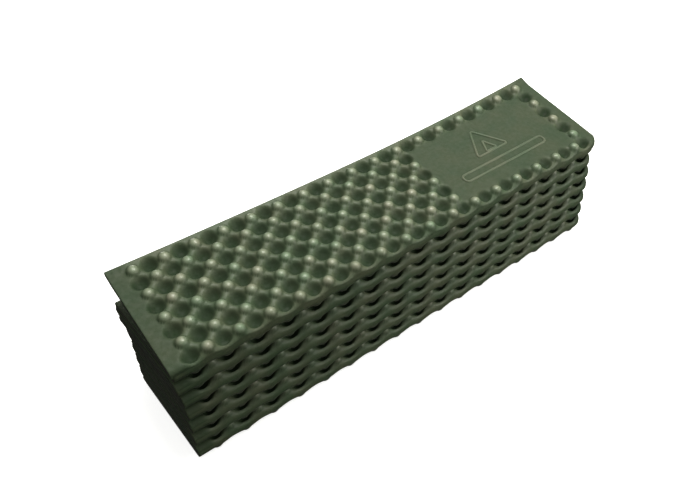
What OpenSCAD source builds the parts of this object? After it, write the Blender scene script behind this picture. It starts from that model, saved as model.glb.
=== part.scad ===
// Foam sleeping pad, folded like an accordion into its carrying stack.
// Fourteen egg-crate panels lie one on another with the knobs of each in the hollows of the
// next. Thin pressed folds join them, at the front and at the back in turn. The top panel
// stands a little open on its fold.
// X runs along the folds, Y from the front folds to the back ones and Z up from the ground.
// Panels and folds are counted from the ground up.

/* [Pad] */
// Width of the pad, measured along its folds
pad_w = 560; // [500:1:620]
// Columns of knobs and hollows across the width
columns = 33; // [23:2:41]
// Rows of knobs and hollows on a panel
rows = 8; // [6:2:10]
// Mean distance from the end columns to the sides of the pad
end_margin = 20; // [14:0.5:26]
// Distance that the knobs and hollows stand off the middle of the pad, to the right
lattice_shift = 2; // [0:0.5:4]

/* [Foam] */
// Thickness of the foam, measured straight up through a sloping wall
sheet_t = 8.8; // [6:0.1:10]
// Height of a knob, and depth of a hollow, from the middle level of its face
knob_h = 4.5; // [2.5:0.1:5]
// Clearance between nested panels
layer_gap = 0.35; // [0.2:0.05:0.8]
// Distance that the free edge of the bottom panel stays inside the line of the folds
edge_inset = 0.2; // [0:0.1:2]
// Distance that the free edge of the top panel reaches past that line when the panel lies flat
top_overhang = 2; // [0:0.1:2]
// Height ground off the tips of the lowest knobs, which gives them flats to stand on
foot_cut = 1; // [0.5:0.1:1.5]

/* [Folds] */
// Thickness of the foam where it is pressed thin at a fold
web_t = 1.8; // [1:0.1:2.5]
// Angle that the middle of the top panel stands open on its fold
top_opening = 9.6; // [6:0.1:30]
// Height that the back left corner of the top panel curls up above its middle
left_curl = 5; // [0:0.5:20]
// Height that the back right corner of the top panel curls up above its middle
right_curl = 13; // [0:0.5:20]

/* [Smooth field] */
// Columns that the smooth field on the top panel takes up
field_columns = 11; // [5:1:15]
// Columns left between the smooth field and the side of the pad
field_border = 1; // [1:1:4]

/* [Hidden] */
panels = 14;
lattice_pitch = (pad_w - 2 * end_margin) / (columns - 1);
fold_pitch = rows * lattice_pitch;
layer_pitch = sheet_t + layer_gap;
web_r = web_t + layer_gap / 2;
front_y = -fold_pitch / 2;
back_y = fold_pitch / 2;
first_row_y = front_y + lattice_pitch / 2;
first_panel_z = sheet_t / 2 + knob_h - foot_cut;
field_last = columns - 1 - field_border;
field_first = field_last - field_columns + 1;
line_points = columns + 2;
face_points = line_points * (rows + 2);
bend_steps = 6;
reach = 1000;
foam_colour = [0.27, 0.34, 0.22];
fold_colour = [0.21, 0.27, 0.17];

// ---- Where things stand ----

function is_odd(n) = n % 2 != 0;

// Odd folds are at the front and even ones at the back.
function fold_y(k) = is_odd(k) ? front_y : back_y;

function fold_z(k) = first_panel_z + (k - 0.5) * layer_pitch;

function panel_z(n) = first_panel_z + (n - 1) * layer_pitch;

// The face that a panel turns to its neighbour across a fold: 1 is the top, -1 is the
// bottom and 0 is neither, at a free edge.
function front_inner_face(n) = is_odd(n) ? 1 : -1;

function back_inner_face(n) = n == 1 || n == panels ? 0 : -front_inner_face(n);

// ---- The lattice ----
// Points are numbered (i, r): columns i from the left and rows r from the front. The numbers
// just outside the lattice stand for the panel's edges.

function on_side(i) = i < 0 || i >= columns;

function on_front(r) = r < 0;

function on_back(r) = r >= rows;

function lattice_x(i) =
    on_side(i) ? sign(i) * pad_w / 2 : (i - (columns - 1) / 2) * lattice_pitch + lattice_shift;

function lattice_y(n, r) =
    on_front(r) ? front_y + web_r
    : !on_back(r) ? first_row_y + r * lattice_pitch
    : n == 1 ? back_y - edge_inset
    : n == panels ? back_y + top_overhang
    : back_y - web_r;

function is_knob(i, r) = is_odd(i + r);

function wave(i, r) = on_side(i) ? 0 : is_knob(i, r) ? knob_h : -knob_h;

function in_field(n, i, r) =
    n == panels && i >= field_first && i <= field_last && r > 0 && r < rows - 1;

// The top panel curls up towards its back corners, and its fold stays straight.
function corner_curl(x) = (x < 0 ? left_curl : right_curl) * pow(2 * x / pad_w, 2);

function curl(n, i, r) =
    n == panels ? corner_curl(lattice_x(i)) * (lattice_y(n, r) - front_y) / fold_pitch : 0;

// Heights from the panel's middle. A folded edge is as thin as its fold, beside the inner face.
function edge_top(inner) = inner < 0 ? web_t - sheet_t / 2 : sheet_t / 2;

function edge_bottom(inner) = inner > 0 ? sheet_t / 2 - web_t : -sheet_t / 2;

function top_height(n, i, r) =
    on_front(r) ? edge_top(front_inner_face(n))
    : on_back(r) ? edge_top(back_inner_face(n))
    : sheet_t / 2 + (in_field(n, i, r) ? 0 : wave(i, r));

function bottom_height(n, i, r) =
    on_front(r) ? edge_bottom(front_inner_face(n))
    : on_back(r) ? edge_bottom(back_inner_face(n))
    : wave(i, r) - sheet_t / 2;

function panel_points(n) = [
    for (is_top = [true, false], r = [-1:rows], i = [-1:columns])
        [
            lattice_x(i),
            lattice_y(n, r),
            (is_top ? top_height(n, i, r) : bottom_height(n, i, r)) + curl(n, i, r)
        ]
];

function top_point(i, r) = (r + 1) * line_points + i + 1;

function bottom_point(i, r) = face_points + top_point(i, r);

// The two triangles of a lattice square, with their shared side on the ridge between knobs
function square_faces(a, b, c, d, ridge_from_a) =
    ridge_from_a ? [[a, b, c], [a, c, d]] : [[a, b, d], [b, c, d]];

function top_faces() = [
    for (r = [-1:rows - 1], i = [-1:columns - 1])
        each square_faces(
            top_point(i, r), top_point(i, r + 1),
            top_point(i + 1, r + 1), top_point(i + 1, r),
            is_knob(i, r)
        )
];

function bottom_faces() = [
    for (r = [-1:rows - 1], i = [-1:columns - 1])
        each square_faces(
            bottom_point(i, r), bottom_point(i + 1, r),
            bottom_point(i + 1, r + 1), bottom_point(i, r + 1),
            is_knob(i, r)
        )
];

// One wall below the top face's edge, from its left end to its right end as seen from outside
function wall_face(i1, r1, i2, r2) =
    [top_point(i1, r1), top_point(i2, r2), bottom_point(i2, r2), bottom_point(i1, r1)];

function wall_faces() = concat(
    [for (i = [-1:columns - 1]) wall_face(i, -1, i + 1, -1)],
    [for (i = [-1:columns - 1]) wall_face(i + 1, rows, i, rows)],
    [for (r = [-1:rows - 1]) wall_face(-1, r + 1, -1, r)],
    [for (r = [-1:rows - 1]) wall_face(columns, r, columns, r + 1)]
);

module egg_crate(n)
    polyhedron(
        points = panel_points(n),
        faces = concat(top_faces(), bottom_faces(), wall_faces()),
        convexity = rows
    );

// ---- The pieces ----

module panel(n)
    color(foam_colour)
    translate([0, 0, panel_z(n)])
    egg_crate(n);

// The lowest knobs end in small flats, on which the pad stands.
module bottom_panel()
    color(foam_colour)
    intersection() {
        panel(1);
        translate([-reach / 2, -reach / 2, 0])
            cube(reach);
    }

// Turns what it holds open about a front fold.
module opened(k, angle)
    translate([0, fold_y(k), fold_z(k)])
    rotate([angle, 0, 0])
    translate([0, -fold_y(k), -fold_z(k)])
    children();

module top_panel()
    opened(panels - 1, top_opening)
    panel(panels);

// A point of a fold's section, from the tip of the bend: u inwards, v up. The upper leg
// turns about the tip as the fold opens.
function turned(u, v, angle) =
    [u * cos(angle) - v * sin(angle), u * sin(angle) + v * cos(angle)];

function bend_point(angle, opening) =
    turned(web_r * (1 - cos(angle)), web_r * sin(angle), angle > 0 ? opening : 0);

function fold_section(opening) = concat(
    [for (step = [-bend_steps:bend_steps]) bend_point(90 * step / bend_steps, opening)],
    [
        turned(web_r, layer_gap / 2, opening),
        turned(web_t, 0, opening / 2),
        [web_r, -layer_gap / 2]
    ]
);

// The thin web that bends at fold k and joins panel k to panel k + 1
module fold(k, opening = 0)
    color(fold_colour)
    translate([-pad_w / 2, fold_y(k), fold_z(k)])
    mirror([0, is_odd(k) ? 0 : 1, 0])
    rotate([90, 0, 90])
    linear_extrude(pad_w)
    polygon(fold_section(opening));

// ---- Nodes ----

bottom_panel();  // panel_01
panel(2);  // panel_02
panel(3);  // panel_03
panel(4);  // panel_04
panel(5);  // panel_05
panel(6);  // panel_06
panel(7);  // panel_07
panel(8);  // panel_08
panel(9);  // panel_09
panel(10);  // panel_10
panel(11);  // panel_11
panel(12);  // panel_12
panel(13);  // panel_13
top_panel();  // panel_14
fold(1);  // fold_01
fold(2);  // fold_02
fold(3);  // fold_03
fold(4);  // fold_04
fold(5);  // fold_05
fold(6);  // fold_06
fold(7);  // fold_07
fold(8);  // fold_08
fold(9);  // fold_09
fold(10);  // fold_10
fold(11);  // fold_11
fold(12);  // fold_12
fold(13, top_opening);  // fold_13
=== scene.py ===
"""Foam sleeping pad, folded like an accordion: the shape and the looks of its panels and folds."""

import math

import bpy
import numpy as np
from mathutils import Matrix, Vector


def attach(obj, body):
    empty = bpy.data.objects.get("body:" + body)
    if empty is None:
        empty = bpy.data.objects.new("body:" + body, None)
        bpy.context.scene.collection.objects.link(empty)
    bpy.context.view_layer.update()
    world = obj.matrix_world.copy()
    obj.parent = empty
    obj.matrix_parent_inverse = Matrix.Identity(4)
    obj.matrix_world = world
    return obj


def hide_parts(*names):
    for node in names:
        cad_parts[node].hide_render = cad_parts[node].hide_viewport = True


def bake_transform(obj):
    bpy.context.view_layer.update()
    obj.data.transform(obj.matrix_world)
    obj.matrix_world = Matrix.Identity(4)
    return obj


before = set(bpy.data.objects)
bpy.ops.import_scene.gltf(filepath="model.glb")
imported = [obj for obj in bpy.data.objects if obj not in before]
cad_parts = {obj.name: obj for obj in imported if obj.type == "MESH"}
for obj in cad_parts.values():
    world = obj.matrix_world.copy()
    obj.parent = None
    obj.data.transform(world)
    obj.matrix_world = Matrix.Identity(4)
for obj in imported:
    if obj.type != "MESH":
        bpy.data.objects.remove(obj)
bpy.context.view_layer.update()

# ---- Sizes, in millimetres unless a comment says otherwise ----

# A millimetre in metres
MM = 0.001

# The pad, as in the CAD model. Its columns and rows are those of the knobs and hollows.
PANELS = 14
COLUMNS = 33
ROWS = 8
WIDTH = 560.0
PITCH = 16.25
LAYER = 9.15
FIRST_Z = 7.9
LATTICE_SHIFT = 2.0
TOP_OPENING = math.radians(9.6)
LEFT_CURL = 5.0
RIGHT_CURL = 13.0
EDGE_INSET = 0.2
FIELD_COLUMNS = (21, 31)
FIELD_ROWS = (1, 6)

# What follows from those: the lines of the folds, and the first knob or hollow
BACK = ROWS * PITCH / 2
FRONT = -BACK
HALF_LATTICE = (COLUMNS - 1) * PITCH / 2
FIRST_X = LATTICE_SHIFT - HALF_LATTICE
FIRST_Y = FRONT + PITCH / 2

# The moulded relief, on either face of a panel
HALF_SHEET = 3.1
WAVE = 0.9
WAVE_END = 0.6 * PITCH
KNOB_HEIGHT = 3.9
KNOB_RADIUS = 0.385 * PITCH
KNOB_POWER = 0.5
PIT_DEPTH = 6.2
PIT_RADIUS = 0.55 * PITCH
PIT_POWER = 2.8
SOFT_RIM = 0.5
LIP = 2.6
LEAST_FOAM = 1.8

# Where the smooth field ends, in pitches
FIELD_START = 0.15
FIELD_RAMP = 0.5

# The rims and the round noses of the folded edges
RIM_SAG = 2.9
RIM_BULGE = 1.5
RIM_START = 2.0
RIM_DEPTH = 12.0
CUSP_SOFTNESS = 0.02
NOSE_DEPTH = 7.0
NOSE_POWER = 2.3
NOSE_TIP = 0.17
SQUARE_DEPTH = 1.0
FOLD_GAP = 0.12
LEAST_RISE = 2 * FOLD_GAP
INNER_RISE = 9.0

# The cut edges and the rounded front corner
BEVEL = 0.8
BEVEL_LINES = (0.0, 0.12, 0.4, 1.0)
CUT_BAND = BEVEL / 10
CORNER_RADIUS = 11.0
CORNER_REACH = 16.0
CORNER_TURN = 0.42 * math.pi

# How the panels lie: the top one's overhang and lifted edge, and each pair's place. The edge
# starts to lift at a number of pitches in front of the back folds.
TOP_OVERHANG = 3.8
EDGE_LIFT = 2.5
LIFT_START = 0.7
PAIR_SHIFTS = (-0.9, -0.3, 0.4, 1.3, 1.1, -1.2, 0.0)
LEFT_SPREAD = 1.8
RIGHT_SPREAD = 3.8
LEFT_FLARE = 2.6

# Painted light on the foam: painted shade down to -1 at the bottom of a pit, the foam's own colour at
# 0 and a painted highlight up to 1 at the tip of a knob. A cut edge goes below them.
TIP_PAINTED_HIGHLIGHT = 1.0
CUT_BROWN_AND_PAINTED_SHADE = -1.5
# Painted shade that darkens the smooth field and the flat side margins
PLAIN_PAINTED_SHADE = 0.57
# A ring of painted shade round the foot of each knob: its depth, the level on the knob where it lies,
# and its width
FOOT_PAINTED_SHADE = 0.5
FOOT_SHADE_LEVEL = -0.05
FOOT_SHADE_WIDTH = 0.15
# How fast the painted highlight fades down a knob's sides
TIP_HIGHLIGHT_POWER = 1.3
# The sign's ribs sit a little above the foam's own colour
RIB_SHADE = 0.15

# The bent webs. Their inside is flat, with lines at parts of its half height.
WEB_HALF = 2.2
WEB_MEET = 1.6
WEB_PROUD = 0.05
WEB_SETBACK = 0.07
WEB_DEPTH = 0.9
WEB_END = 0.1
WEB_INSIDE = np.array([0.7, 0, -0.7])

# The raised sign on the smooth field: the corners of each loop, and the reach of their rounding
TENT = (((137, -6), (185, -6), (161, 34)), 5.0)
TENT_DOOR = (((153, -4), (169, -4), (161, 13)), 2.5)
LONG_FRAME = (((98, -30), (226, -30), (226, -19), (98, -19)), 5.4)
RIB_WIDTH = 2.8
RIB_HEIGHT = 1.3
RIB_ROOT = 0.4
RIB_STEP = 4.0

# How fine the meshes are
FINE_STEP = PITCH / 11
COARSE_STEP = PITCH / 8
NOSE_LINES = 10
CORNER_LINES = 7
WEB_LINES = 13
RIB_LINES = 9
LOOP_LINES = 8
SHARP_ANGLE = math.radians(50)

# ---- Where things stand ----


def is_odd(n):
    return n % 2 == 1


def fold_y(k):
    """Odd folds are at the front and even ones at the back."""
    return FRONT if is_odd(k) else BACK


def fold_z(k):
    return FIRST_Z + (k - 0.5) * LAYER


def panel_z(n):
    return FIRST_Z + (n - 1) * LAYER


def is_free_behind(n):
    """The bottom panel and the top one end behind in a free edge, and the others in a fold."""
    return n in (1, PANELS)


def back_edge(n):
    return {1: BACK - EDGE_INSET, PANELS: BACK + TOP_OVERHANG}.get(n, BACK)


# ---- Curves ----


def soft_positive(value, softness):
    """The value where it is above zero and nothing below it, with a soft turn between the two."""
    return 0.5 * (value + np.sqrt(value * value + softness * softness))


def smooth(t):
    """Rises from 0 to 1 as t does, with a soft start and end."""
    t = np.clip(t, 0.0, 1.0)
    return t * t * (3 - 2 * t)


def lattice_fade(beyond):
    """1 over the lattice, dying out beyond its end."""
    return 0.5 * (1 + np.cos(np.pi * np.clip(beyond / WAVE_END, 0, 1)))


def nose(depth, reach):
    """How much of a folded edge's height there is at a depth behind the fold, up to its reach."""
    t = np.clip(depth / reach, 0, 1)
    return (1 - (1 - t) ** NOSE_POWER) ** (1 / NOSE_POWER)


def nose_depth(height, full_height, reach):
    """The depth behind a fold at which its round is at a height above or below its plane."""
    part = np.clip((np.abs(height) - LEAST_RISE) / (full_height - LEAST_RISE), 0, 1)
    return reach * (1 - (1 - part ** NOSE_POWER) ** (1 / NOSE_POWER))


def cut_edge(distance):
    """How far a face drops towards a cut edge, which is slightly rounded."""
    t = np.clip(distance / BEVEL, 0, 1)
    return BEVEL * (1 - np.sqrt(1 - (1 - t) ** 2))


def corner_cut(x):
    """How far the outline is set back from the front at x, round the right-hand corner."""
    beyond = np.clip(x - (WIDTH / 2 - CORNER_RADIUS), 0, CORNER_RADIUS)
    return CORNER_RADIUS - np.sqrt(np.maximum(CORNER_RADIUS ** 2 - beyond ** 2, 0))


# ---- The moulded relief ----


def lattice_place(x, y):
    """The column and row at a point, with the parts of a pitch between them."""
    return (x - FIRST_X) / PITCH, (y - FIRST_Y) / PITCH


def in_field(column, row):
    """Whether a lattice point lies in the smooth field of the top panel."""
    return (
        (column >= FIELD_COLUMNS[0]) & (column <= FIELD_COLUMNS[1])
        & (row >= FIELD_ROWS[0]) & (row <= FIELD_ROWS[1])
    )


def field_cover(x, y):
    """1 inside the smooth field, 0 outside it, soft at its border."""
    u, v = lattice_place(x, y)
    margin_u = np.minimum(u - (FIELD_COLUMNS[0] - 1), (FIELD_COLUMNS[1] + 1) - u)
    margin_v = np.minimum(v - (FIELD_ROWS[0] - 1), (FIELD_ROWS[1] + 1) - v)
    return smooth((np.minimum(margin_u, margin_v) - FIELD_START) / FIELD_RAMP)


def side_fade(x):
    return lattice_fade(np.abs(x - LATTICE_SHIFT) - HALF_LATTICE)


def base_wave(x, y):
    """Gentle checkerboard wave of the whole sheet, up at the knobs. It dies out past the lattice."""
    u, v = lattice_place(x, y)
    beyond = PITCH * np.maximum(-v, v - (ROWS - 1))
    checker = -WAVE * np.cos(np.pi * u) * np.cos(np.pi * v)
    return checker * lattice_fade(beyond) * side_fade(x)


def rim_wave(x, row, faces_up):
    """Wave of a folded edge's rim. A rim that faces up sags at the hollows, with cusps between."""
    u = (x - FIRST_X) / PITCH + row
    if faces_up:
        to_knob = np.sqrt((np.mod(u, 2) - 1) ** 2 + CUSP_SOFTNESS)
        return RIM_SAG * (1 - 2 * np.sin(np.pi / 2 * to_knob)) * side_fade(x)
    return -RIM_BULGE * np.cos(np.pi * u) * side_fade(x)


def row_distance(y, row_y, folded_back):
    """Distance from a row, stretched beside a fold so that what stands there ends inside its lip."""
    away = y - row_y
    stretch = PIT_RADIUS / (PITCH / 2 - LIP)
    front = (row_y < FIRST_Y + 1) & (away < 0)
    back = (row_y > FIRST_Y + PITCH * (ROWS - 1) - 1) & (away > 0) & folded_back
    return np.where(front | back, away * stretch, away)


def relief(x, y, knob_parity, plain_field, folded_back):
    """Height of the knobs and pits, and the painted light at each point: painted shade down into the
    pits, a painted highlight on the knob tips, and painted shade round the knobs' feet and on the
    flat side margins.
    """
    u, v = lattice_place(x, y)
    knob = np.full(x.shape, -1.0)
    pit = np.full(x.shape, -1.0)
    for dc in (-1, 0, 1):
        for dr in (-1, 0, 1):
            c = np.clip(np.rint(u) + dc, 0, COLUMNS - 1)
            r = np.clip(np.rint(v) + dr, 0, ROWS - 1)
            absent = in_field(c, r) if plain_field else np.zeros(x.shape, bool)
            row_y = FIRST_Y + r * PITCH
            across = x - (FIRST_X + c * PITCH)
            pit_q = np.hypot(across, row_distance(y, row_y, folded_back)) / PIT_RADIUS
            knob_q = np.hypot(across, y - row_y) / KNOB_RADIUS
            is_knob = (c + r) % 2 == knob_parity
            knob = np.where(is_knob & ~absent, np.maximum(knob, 1 - knob_q ** 2), knob)
            pit = np.where(~is_knob & ~absent, np.maximum(pit, 1 - pit_q ** PIT_POWER), pit)
    up = soft_positive(KNOB_HEIGHT * np.sign(knob) * np.abs(knob) ** KNOB_POWER, SOFT_RIM)
    down = soft_positive(PIT_DEPTH * pit, SOFT_RIM)
    # A ring of painted shade round the foot of each knob
    foot = FOOT_PAINTED_SHADE * np.exp(-((knob - FOOT_SHADE_LEVEL) / FOOT_SHADE_WIDTH) ** 2)
    # Painted highlight towards the tip of each knob and painted shade down into each pit
    shade = np.clip(knob, 0, 1) ** TIP_HIGHLIGHT_POWER - np.clip(down / PIT_DEPTH, 0, 1) - foot
    # Painted shade on the flat side margins, past the lattice
    return up - down, shade - PLAIN_PAINTED_SHADE * (1 - side_fade(x))


# ---- The lines of the panels' meshes ----


def side_samples():
    """Distances in from a cut edge where the mesh has lines."""
    return [part * BEVEL for part in BEVEL_LINES]


def nose_samples():
    """Depths behind a fold where the mesh has lines."""
    angles = np.linspace(0, math.pi / 2, NOSE_LINES)
    return list(NOSE_TIP + (NOSE_DEPTH - NOSE_TIP) * (1 - np.cos(angles)))


def even_steps(start, end, step):
    """Even places between two ends, without the ends."""
    count = max(2, int(round((end - start) / step)))
    return list(np.linspace(start, end, count + 1)[1:-1])


def x_lines(step):
    half = WIDTH / 2
    left = [-half + d for d in side_samples()]
    angles = np.linspace(0, CORNER_TURN, CORNER_LINES)
    arc = [half - CORNER_RADIUS * (1 - math.sin(a)) for a in angles]
    right = [half - d for d in reversed(side_samples())]
    return np.array(left + even_steps(left[-1], arc[0], step) + arc + right)


def y_lines(n, step):
    front = [FRONT + d for d in nose_samples()]
    samples = side_samples() if is_free_behind(n) else nose_samples()
    back = [back_edge(n) - d for d in reversed(samples)]
    return np.array(front + even_steps(front[-1], back[0], step) + back)


# ---- The panels' faces ----


def folded_edges(n, y):
    """A panel's folded edges: the row beside each, the depth behind it at y, and whether the
    panel's top is its inner face there."""
    edges = [(0, y - FRONT, is_odd(n))]
    if not is_free_behind(n):
        edges.append((ROWS - 1, BACK - y, not is_odd(n)))
    return edges


def nose_reach(is_front, is_upper):
    """Folded edges are round, apart from the upper ones at the back, which are nearly square."""
    return SQUARE_DEPTH if is_upper and not is_front else NOSE_DEPTH


def face_waves(n, x, y):
    """The gentle waves of a panel's two faces, which turn into those of its rims at the folds."""
    wave = base_wave(x, y)
    top_wave = wave * (1 - field_cover(x, y)) if n == PANELS else wave
    bottom_wave = wave
    for row, depth, inner_is_top in folded_edges(n, y):
        near = 1 - smooth((depth - RIM_START) / (RIM_DEPTH - RIM_START))
        if inner_is_top:
            bottom_wave = bottom_wave + (rim_wave(x, row, False) - bottom_wave) * near
        else:
            top_wave = top_wave + (rim_wave(x, row, True) - top_wave) * near
    return top_wave, bottom_wave


def toward_fold(top, bottom, depth, inner_is_top, reach):
    """Draws the inner face of a folded edge to the fold's plane, and rounds the outer face off."""
    side = 1 if inner_is_top else -1
    plane = side * LAYER / 2
    inner, outer = (top, bottom) if inner_is_top else (bottom, top)
    rise = 1 - smooth(depth / INNER_RISE)
    inner = inner + (plane - side * FOLD_GAP - inner) * rise
    full_height = np.abs(plane - outer) - LEAST_RISE
    outer = plane - side * (LEAST_RISE + full_height * nose(depth, reach))
    return (inner, outer) if inner_is_top else (outer, inner)


def panel_faces(n, x, y):
    """Heights of a panel's two faces above its middle, and the shade of each: its painted light, and
    the darker brown of its cut edges.
    """
    has_field = n == PANELS
    folded_back = not is_free_behind(n)
    top, top_shade = relief(x, y, 1, has_field, folded_back)
    bottom, bottom_shade = relief(x, y, 0, False, folded_back)
    # Painted shade on the smooth field
    if has_field:
        top_shade = top_shade - PLAIN_PAINTED_SHADE * field_cover(x, y)
    top_wave, bottom_wave = face_waves(n, x, y)
    top = HALF_SHEET + top_wave + top
    bottom = -HALF_SHEET + bottom_wave - bottom
    bottom = np.minimum(bottom, top - LEAST_FOAM)
    for row, depth, inner_is_top in folded_edges(n, y):
        reach = nose_reach(row == 0, not inner_is_top)
        top, bottom = toward_fold(top, bottom, depth, inner_is_top, reach)
    from_cut = WIDTH / 2 - np.abs(x)
    if not folded_back:
        from_cut = np.minimum(from_cut, back_edge(n) - y)
    # Cut edges get the darker brown of cut foam, which also stands in as painted shade on the cut
    # ends
    is_cut = from_cut < CUT_BAND
    top_shade = np.where(is_cut, CUT_BROWN_AND_PAINTED_SHADE, top_shade)
    bottom_shade = np.where(is_cut, CUT_BROWN_AND_PAINTED_SHADE, bottom_shade)
    drop = cut_edge(from_cut)
    return top - drop, bottom + drop, top_shade, bottom_shade


# ---- The panels' places ----


def side_shift(n):
    """How far to the right a panel lies. A front fold joins each pair of panels."""
    return PAIR_SHIFTS[(n - 1) // 2]


def margin_spread(n, x, y):
    """How far to the right a panel's side margins are moved. The left ones flare to the back."""
    beyond = np.abs(x - LATTICE_SHIFT) - HALF_LATTICE
    beyond = smooth(beyond / (WIDTH / 2 - HALF_LATTICE))
    if n == PANELS:
        return beyond * np.where(x < 0, -LEFT_SPREAD, RIGHT_SPREAD)
    return beyond * np.where(x < 0, -LEFT_FLARE, 0) * (y - FRONT) / (BACK - FRONT)


def open_top(x, y, z):
    """Curls the top panel towards its back corners, lifts its free edge and opens it on its fold."""
    curl = np.where(x < 0, LEFT_CURL, RIGHT_CURL) * (2 * x / WIDTH) ** 2
    z = z + curl * (y - FRONT) / (BACK - FRONT)
    z = z + EDGE_LIFT * smooth((y - BACK) / PITCH + LIFT_START)
    axis_z = fold_z(PANELS - 1)
    dy = y - FRONT
    dz = z - axis_z
    y = FRONT + dy * math.cos(TOP_OPENING) - dz * math.sin(TOP_OPENING)
    z = axis_z + dy * math.sin(TOP_OPENING) + dz * math.cos(TOP_OPENING)
    return np.maximum(y, FRONT + NOSE_TIP), z


def place(n, x, y, z):
    """Moves points of a panel to where it lies in the stack."""
    reach = np.clip(1 - (y - FRONT) / CORNER_REACH, 0, 1)
    y = y + corner_cut(x) * reach
    x = x + side_shift(n) + margin_spread(n, x, y)
    z = z + panel_z(n)
    if n == PANELS:
        y, z = open_top(x, y, z)
    if n == 1:
        z = np.maximum(z, 0)
    return np.stack([x, y, z], axis=-1)


# ---- Meshes ----


def strip_faces(first, second):
    """Quads between two rows of vertex numbers."""
    return np.stack([first[:-1], first[1:], second[1:], second[:-1]], axis=-1)


def tube_faces(number):
    """Quads round a tube, from the vertex numbers of its rings."""
    number = np.concatenate([number, number[:, :1]], axis=1)
    return np.concatenate([strip_faces(a, b) for a, b in zip(number[:-1], number[1:])])


def sheet_faces(top, bottom):
    """Quads of a closed sheet, from the grids of vertex numbers of its two faces."""
    quads = [strip_faces(a, b) for a, b in zip(top[:-1], top[1:])]
    quads += [strip_faces(b, a) for a, b in zip(bottom[:-1], bottom[1:])]
    quads.append(strip_faces(bottom[0], top[0]))
    quads.append(strip_faces(top[-1], bottom[-1]))
    quads.append(strip_faces(top[:, 0], bottom[:, 0]))
    quads.append(strip_faces(bottom[:, -1], top[:, -1]))
    return np.concatenate(quads)


def add_piece(name, points, faces):
    mesh = bpy.data.meshes.new(name)
    mesh.from_pydata((points * MM).tolist(), [], faces)
    mesh.update()
    mesh.shade_smooth()
    piece = bpy.data.objects.new(name, mesh)
    bpy.context.scene.collection.objects.link(piece)
    return piece


# ---- The sign ----


def rounded_loop(corners, reach):
    """Points along a closed loop with rounded corners."""
    corners = np.array(corners, float)
    t = np.linspace(0, 1, LOOP_LINES)[:, None]
    turns = []
    for before, corner, after in zip(np.roll(corners, 1, 0), corners, np.roll(corners, -1, 0)):
        start = corner + (before - corner) * reach / np.linalg.norm(before - corner)
        end = corner + (after - corner) * reach / np.linalg.norm(after - corner)
        turns.append(start * (1 - t) ** 2 + corner * 2 * t * (1 - t) + end * t ** 2)
    points = []
    for turn, following in zip(turns, turns[1:] + turns[:1]):
        steps = 2 + int(np.linalg.norm(following[0] - turn[-1]) / RIB_STEP)
        points += [turn, np.linspace(turn[-1], following[0], steps)[1:-1]]
    return np.concatenate(points)


def make_rib(loop, first_number):
    """A raised rounded rib along a closed loop on the smooth field."""
    ahead = np.roll(loop, -1, 0) - np.roll(loop, 1, 0)
    ahead /= np.linalg.norm(ahead, axis=1)[:, None]
    angles = np.linspace(0, math.pi, RIB_LINES)
    across = RIB_WIDTH / 2 * np.append(np.cos(angles), (-1, 1))
    height = np.append(RIB_HEIGHT * np.sin(angles), (-RIB_ROOT, -RIB_ROOT))
    x = loop[:, :1] - ahead[:, 1:] * across
    y = loop[:, 1:] + ahead[:, :1] * across
    z = np.broadcast_to(HALF_SHEET + height, x.shape)
    number = np.arange(x.size).reshape(x.shape) + first_number
    faces = tube_faces(np.concatenate([number, number[:1]]))
    return place(PANELS, x, y, z).reshape(-1, 3), faces


def add_sign(points, faces):
    """A tent with a door, and an empty long frame below it, in ribs on the smooth field."""
    for corners, reach in (TENT, TENT_DOOR, LONG_FRAME):
        rib_points, rib_faces = make_rib(rounded_loop(corners, reach), len(points))
        points = np.concatenate([points, rib_points])
        faces = np.concatenate([faces, rib_faces])
    return points, faces


# ---- The pieces ----


def make_panel(n):
    """One panel: a closed sheet with the relief on both faces."""
    step = FINE_STEP if n == PANELS else COARSE_STEP
    x, y = np.meshgrid(x_lines(step), y_lines(n, step))
    top, bottom, top_shade, bottom_shade = panel_faces(n, x, y)
    points = np.concatenate([
        place(n, x, y, top).reshape(-1, 3),
        place(n, x, y, bottom).reshape(-1, 3),
    ])
    number = np.arange(x.size).reshape(x.shape)
    faces = sheet_faces(number, number + x.size)
    shade = np.concatenate([top_shade.ravel(), bottom_shade.ravel()])
    if n == PANELS:
        points, faces = add_sign(points, faces)
        shade = np.pad(shade, (0, len(points) - len(shade)), constant_values=RIB_SHADE)
    piece = add_piece(f"foam_panel_{n:02d}", points, faces.tolist())
    attribute = piece.data.attributes.new("relief", "FLOAT", "POINT")
    attribute.data.foreach_set("value", shade.astype(np.float32))
    piece.data.set_sharp_from_angle(angle=SHARP_ANGLE)
    return piece


def web_section(k, x):
    """Depths and heights round a web's section at each x. Its outside runs into its panels'."""
    row = 0 if is_odd(k) else ROWS - 1
    above = LAYER / 2 + HALF_SHEET + rim_wave(x, row, True)
    below = LAYER / 2 + HALF_SHEET - rim_wave(x, row, False)
    v = np.linspace(-WEB_HALF, WEB_HALF, WEB_LINES)
    upper = nose_depth(v, above[:, None], nose_reach(is_odd(k), True))
    lower = nose_depth(v, below[:, None], nose_reach(is_odd(k), False))
    bulge = WEB_PROUD * ((v / WEB_MEET) ** 2 - 1) + WEB_SETBACK
    outside = np.where(v > 0, upper, lower) + bulge
    inside = np.full((len(x), len(WEB_INSIDE)), WEB_DEPTH)
    return np.concatenate([outside, inside], axis=1), np.append(v, WEB_HALF * WEB_INSIDE)


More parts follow.
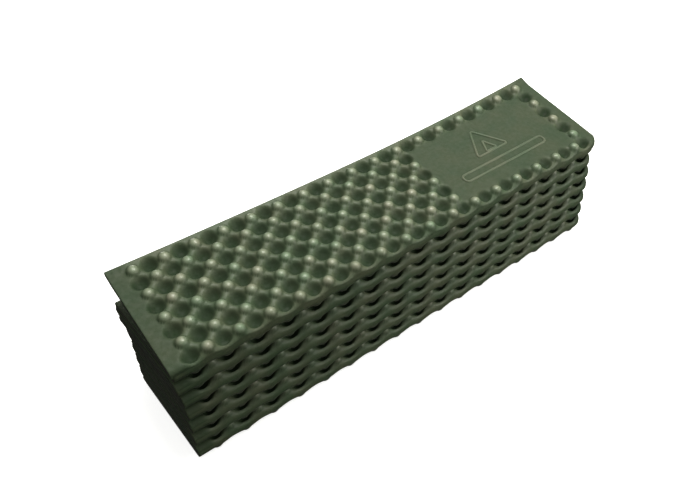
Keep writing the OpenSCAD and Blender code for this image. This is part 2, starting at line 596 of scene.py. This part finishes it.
def make_web(k):
    """The pressed strip of foam that bends at a fold."""
    half = WIDTH / 2 - WEB_END
    xs = np.arange(-half, half + WEB_END, COARSE_STEP)
    xs[-1] = half
    depth, height = web_section(k, xs)
    is_front = is_odd(k)
    inwards = 1 if is_front else -1
    cut = corner_cut(xs) if is_front else np.zeros(len(xs))
    x = xs + margin_spread(k, xs, fold_y(k)) + (side_shift(k) + side_shift(k + 1)) / 2
    x = np.broadcast_to(x[:, None], depth.shape)
    y = fold_y(k) + inwards * depth + cut[:, None]
    z = fold_z(k) + np.broadcast_to(height, depth.shape)
    number = np.arange(depth.size).reshape(depth.shape)
    faces = tube_faces(number).tolist() + [number[0][::-1].tolist(), number[-1].tolist()]
    if not is_front:
        faces = [face[::-1] for face in faces]
    points = np.stack([x, y, z], axis=-1).reshape(-1, 3)
    return add_piece(f"fold_web_{k:02d}", points, faces)


# ---- The foam ----

# Colours from a cut edge (darker brown, also painted shade on the cut ends) and painted shade at the
# bottom of a pit, through the foam's own green, up to a painted highlight at the tip of a knob
FOAM_AND_PAINTED_LIGHT_STOPS = (
    (0.0, (0.020, 0.019, 0.012)),
    (0.2, (0.005, 0.020, 0.002)),
    (0.6, (0.053, 0.073, 0.040)),
    (1.0, (0.214, 0.248, 0.186)),
)
CLOUD_STOPS = ((0.35, (0.78, 0.92, 0.80)), (0.65, (1.18, 1.04, 1.02)))
GRAIN_STOPS = ((0.3, (0.84, 0.86, 0.84)), (0.7, (1.12, 1.1, 1.12)))

# Roughness, over the same levels, and how wear changes it
GLOSS_STOPS = ((0.2, (0.8,) * 3), (0.6, (0.56,) * 3), (0.95, (0.33,) * 3))
WEAR_STOPS = ((0.3, (0.86,) * 3), (0.7, (1.12,) * 3))

# Scale, detail and roughness of each noise
CLOUD_NOISE = (38, 3, 0.5)
GRAIN_NOISE = (1500, 2, 0.6)
WEAR_NOISE = (220, 3, 0.5)
FINE_NOISE = (1300, 3, 0.6)
BROAD_NOISE = (190, 2, 0.5)

# Strength of each bump, and its height in metres
FINE_BUMP = (0.35, 0.00025)
BROAD_BUMP = (0.4, 0.0006)

SPECULAR = 0.42
SHEEN = 0.04
SHEEN_ROUGHNESS = 0.4


def add_noise(tree, where, settings):
    node = tree.nodes.new("ShaderNodeTexNoise")
    for name, value in zip(("Scale", "Detail", "Roughness"), settings):
        node.inputs[name].default_value = value
    tree.links.new(where, node.inputs["Vector"])
    return node.outputs["Fac"]


def add_ramp(tree, factor, stops):
    node = tree.nodes.new("ShaderNodeValToRGB")
    elements = node.color_ramp.elements
    for element, (at, colour) in zip(elements, stops[:2]):
        element.position = at
        element.color = (*colour, 1)
    for at, colour in stops[2:]:
        elements.new(at).color = (*colour, 1)
    tree.links.new(factor, node.inputs["Fac"])
    return node.outputs["Color"]


def multiply(tree, first, second):
    node = tree.nodes.new("ShaderNodeMix")
    node.data_type = "RGBA"
    node.blend_type = "MULTIPLY"
    node.inputs["Factor"].default_value = 1.0
    tree.links.new(first, node.inputs["A"])
    tree.links.new(second, node.inputs["B"])
    return node.outputs["Result"]


def add_bump(tree, height, settings):
    """A bump, as its node. Another bump's normal can be linked into it."""
    node = tree.nodes.new("ShaderNodeBump")
    for name, value in zip(("Strength", "Distance"), settings):
        node.inputs[name].default_value = value
    tree.links.new(height, node.inputs["Height"])
    return node


def relief_level(tree):
    """The level of painted light over the relief, from 0 at a cut edge to 1 at the painted highlight
    on the tip of a knob.
    """
    attribute = tree.nodes.new("ShaderNodeAttribute")
    attribute.attribute_name = "relief"
    level = tree.nodes.new("ShaderNodeMapRange")
    level.inputs["From Min"].default_value = CUT_BROWN_AND_PAINTED_SHADE
    level.inputs["From Max"].default_value = TIP_PAINTED_HIGHLIGHT
    tree.links.new(attribute.outputs["Fac"], level.inputs["Value"])
    return level.outputs["Result"]


def foam_material():
    """Closed-cell foam with a satin skin: fine grain, cloudy colour, painted shade in the pits and
    painted highlights on the knobs.
    """
    material = bpy.data.materials.new("foam")
    material.use_nodes = True
    tree = material.node_tree
    shader = tree.nodes["Principled BSDF"]
    where = tree.nodes.new("ShaderNodeTexCoord").outputs["Object"]
    level = relief_level(tree)
    cloud = add_ramp(tree, add_noise(tree, where, CLOUD_NOISE), CLOUD_STOPS)
    grain = add_ramp(tree, add_noise(tree, where, GRAIN_NOISE), GRAIN_STOPS)
    colour = multiply(tree, multiply(tree, add_ramp(tree, level, FOAM_AND_PAINTED_LIGHT_STOPS), cloud), grain)
    tree.links.new(colour, shader.inputs["Base Color"])
    wear = add_ramp(tree, add_noise(tree, where, WEAR_NOISE), WEAR_STOPS)
    gloss = multiply(tree, add_ramp(tree, level, GLOSS_STOPS), wear)
    tree.links.new(gloss, shader.inputs["Roughness"])
    fine = add_bump(tree, add_noise(tree, where, FINE_NOISE), FINE_BUMP)
    broad = add_bump(tree, add_noise(tree, where, BROAD_NOISE), BROAD_BUMP)
    tree.links.new(fine.outputs["Normal"], broad.inputs["Normal"])
    tree.links.new(broad.outputs["Normal"], shader.inputs["Normal"])
    shader.inputs["Specular IOR Level"].default_value = SPECULAR
    shader.inputs["Sheen Weight"].default_value = SHEEN
    shader.inputs["Sheen Roughness"].default_value = SHEEN_ROUGHNESS
    return material


# ---- The studio, in metres ----

FLOOR_REACH = 6.0
FLOOR_COLOUR = (0.85, 0.85, 0.85, 1)
FLOOR_ROUGHNESS = 0.9
FLOOR_GLOW = 0.75
WHITE = (1, 1, 1, 1)

# Colours of the room that lights the object, at the level of the eyes and near the ceiling
ROOM_STOPS = ((0.0, (0.05, 0.05, 0.05)), (0.9, (0.7, 0.7, 0.66)))
ROOM_STRENGTH = 0.8

# Name, place, aim, size, power in watts and spread in degrees of each light
LIGHTS = (
    ("key", (0.35, 0.15, 1.7), (0, 0, 0.1), 1.0, 31, 180),
    ("fill", (1.2, -1.1, 0.8), (0.1, 0, 0.05), 0.9, 8, 180),
    ("front", (0.65, -0.95, 0.4), (0.18, 0, 0.05), 0.6, 0.85, 60),
    ("back", (0.2, 1.5, 0.2), (0, 0, 0.05), 0.5, 5, 180),
)
LIGHT_COLOUR = (1.0, 1.0, 0.9)

# The camera's place, its lens in millimetres on a 36 mm sensor, and the ways it faces
CAMERA_PLACE = (-0.3623, -0.4772, 0.5659)
CAMERA_SENSOR = 36
CAMERA_LENS = 35.046
CAMERA_CLIP = 0.01
CAMERA_RIGHT = (0.79948, -0.59699, -0.06663)
CAMERA_UP = (0.42076, 0.47737, 0.77141)
CAMERA_BACK = (-0.42872, -0.64476, 0.63284)


def add_floor():
    """A white paper floor under the object, which glows a little and doesn't light it."""
    mesh = bpy.data.meshes.new("floor")
    corners = [(x * FLOOR_REACH, y * FLOOR_REACH, 0) for x, y in ((-1, -1), (1, -1), (1, 1), (-1, 1))]
    mesh.from_pydata(corners, [], [(0, 1, 2, 3)])
    floor = bpy.data.objects.new("floor", mesh)
    bpy.context.scene.collection.objects.link(floor)
    material = bpy.data.materials.new("floor_paper")
    material.use_nodes = True
    shader = material.node_tree.nodes["Principled BSDF"]
    shader.inputs["Base Color"].default_value = FLOOR_COLOUR
    shader.inputs["Roughness"].default_value = FLOOR_ROUGHNESS
    shader.inputs["Emission Color"].default_value = WHITE
    shader.inputs["Emission Strength"].default_value = FLOOR_GLOW
    mesh.materials.append(material)
    floor.visible_diffuse = False
    floor.visible_glossy = False


def add_light(name, location, target, size, power, spread):
    light = bpy.data.lights.new(name, "AREA")
    light.shape = "DISK"
    light.size = size
    light.energy = power
    light.color = LIGHT_COLOUR
    light.spread = math.radians(spread)
    lamp = bpy.data.objects.new(name, light)
    bpy.context.scene.collection.objects.link(lamp)
    lamp.location = location
    lamp.rotation_mode = "QUATERNION"
    lamp.rotation_quaternion = (Vector(target) - Vector(location)).to_track_quat("-Z", "Y")


def add_camera():
    camera = bpy.data.cameras.new("camera")
    camera.sensor_width = CAMERA_SENSOR
    camera.lens = CAMERA_LENS
    camera.clip_start = CAMERA_CLIP
    holder = bpy.data.objects.new("camera", camera)
    bpy.context.scene.collection.objects.link(holder)
    turn = Matrix((CAMERA_RIGHT, CAMERA_UP, CAMERA_BACK)).transposed().to_4x4()
    holder.matrix_world = Matrix.Translation(CAMERA_PLACE) @ turn
    bpy.context.scene.camera = holder


def add_world():
    """White behind the object for the camera, and a dim room with a bright ceiling for the light."""
    world = bpy.data.worlds.new("studio")
    world.use_nodes = True
    tree = world.node_tree
    where = tree.nodes.new("ShaderNodeTexCoord")
    split = tree.nodes.new("ShaderNodeSeparateXYZ")
    tree.links.new(where.outputs["Generated"], split.inputs["Vector"])
    room = tree.nodes["Background"]
    tree.links.new(add_ramp(tree, split.outputs["Z"], ROOM_STOPS), room.inputs["Color"])
    room.inputs["Strength"].default_value = ROOM_STRENGTH
    paper = tree.nodes.new("ShaderNodeBackground")
    paper.inputs["Color"].default_value = WHITE
    path = tree.nodes.new("ShaderNodeLightPath")
    pick = tree.nodes.new("ShaderNodeMixShader")
    tree.links.new(path.outputs["Is Camera Ray"], pick.inputs["Fac"])
    tree.links.new(room.outputs["Background"], pick.inputs[1])
    tree.links.new(paper.outputs["Background"], pick.inputs[2])
    tree.links.new(pick.outputs["Shader"], tree.nodes["World Output"].inputs["Surface"])
    bpy.context.scene.world = world


def add_studio():
    add_floor()
    add_world()
    for light in LIGHTS:
        add_light(*light)
    add_camera()
    bpy.context.scene.view_settings.view_transform = "Standard"


# ---- Everything together ----


def add_panel(n, foam):
    panel = make_panel(n)
    panel.data.materials.append(foam)
    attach(panel, f"layer_{n:02d}")
    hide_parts(f"panel_{n:02d}")


def add_web(k, foam):
    web = make_web(k)
    web.data.materials.append(foam)
    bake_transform(web)
    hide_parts(f"fold_{k:02d}")


def build():
    foam = foam_material()
    for n in range(1, PANELS + 1):
        add_panel(n, foam)
    for k in range(1, PANELS):
        add_web(k, foam)


build()
add_studio()
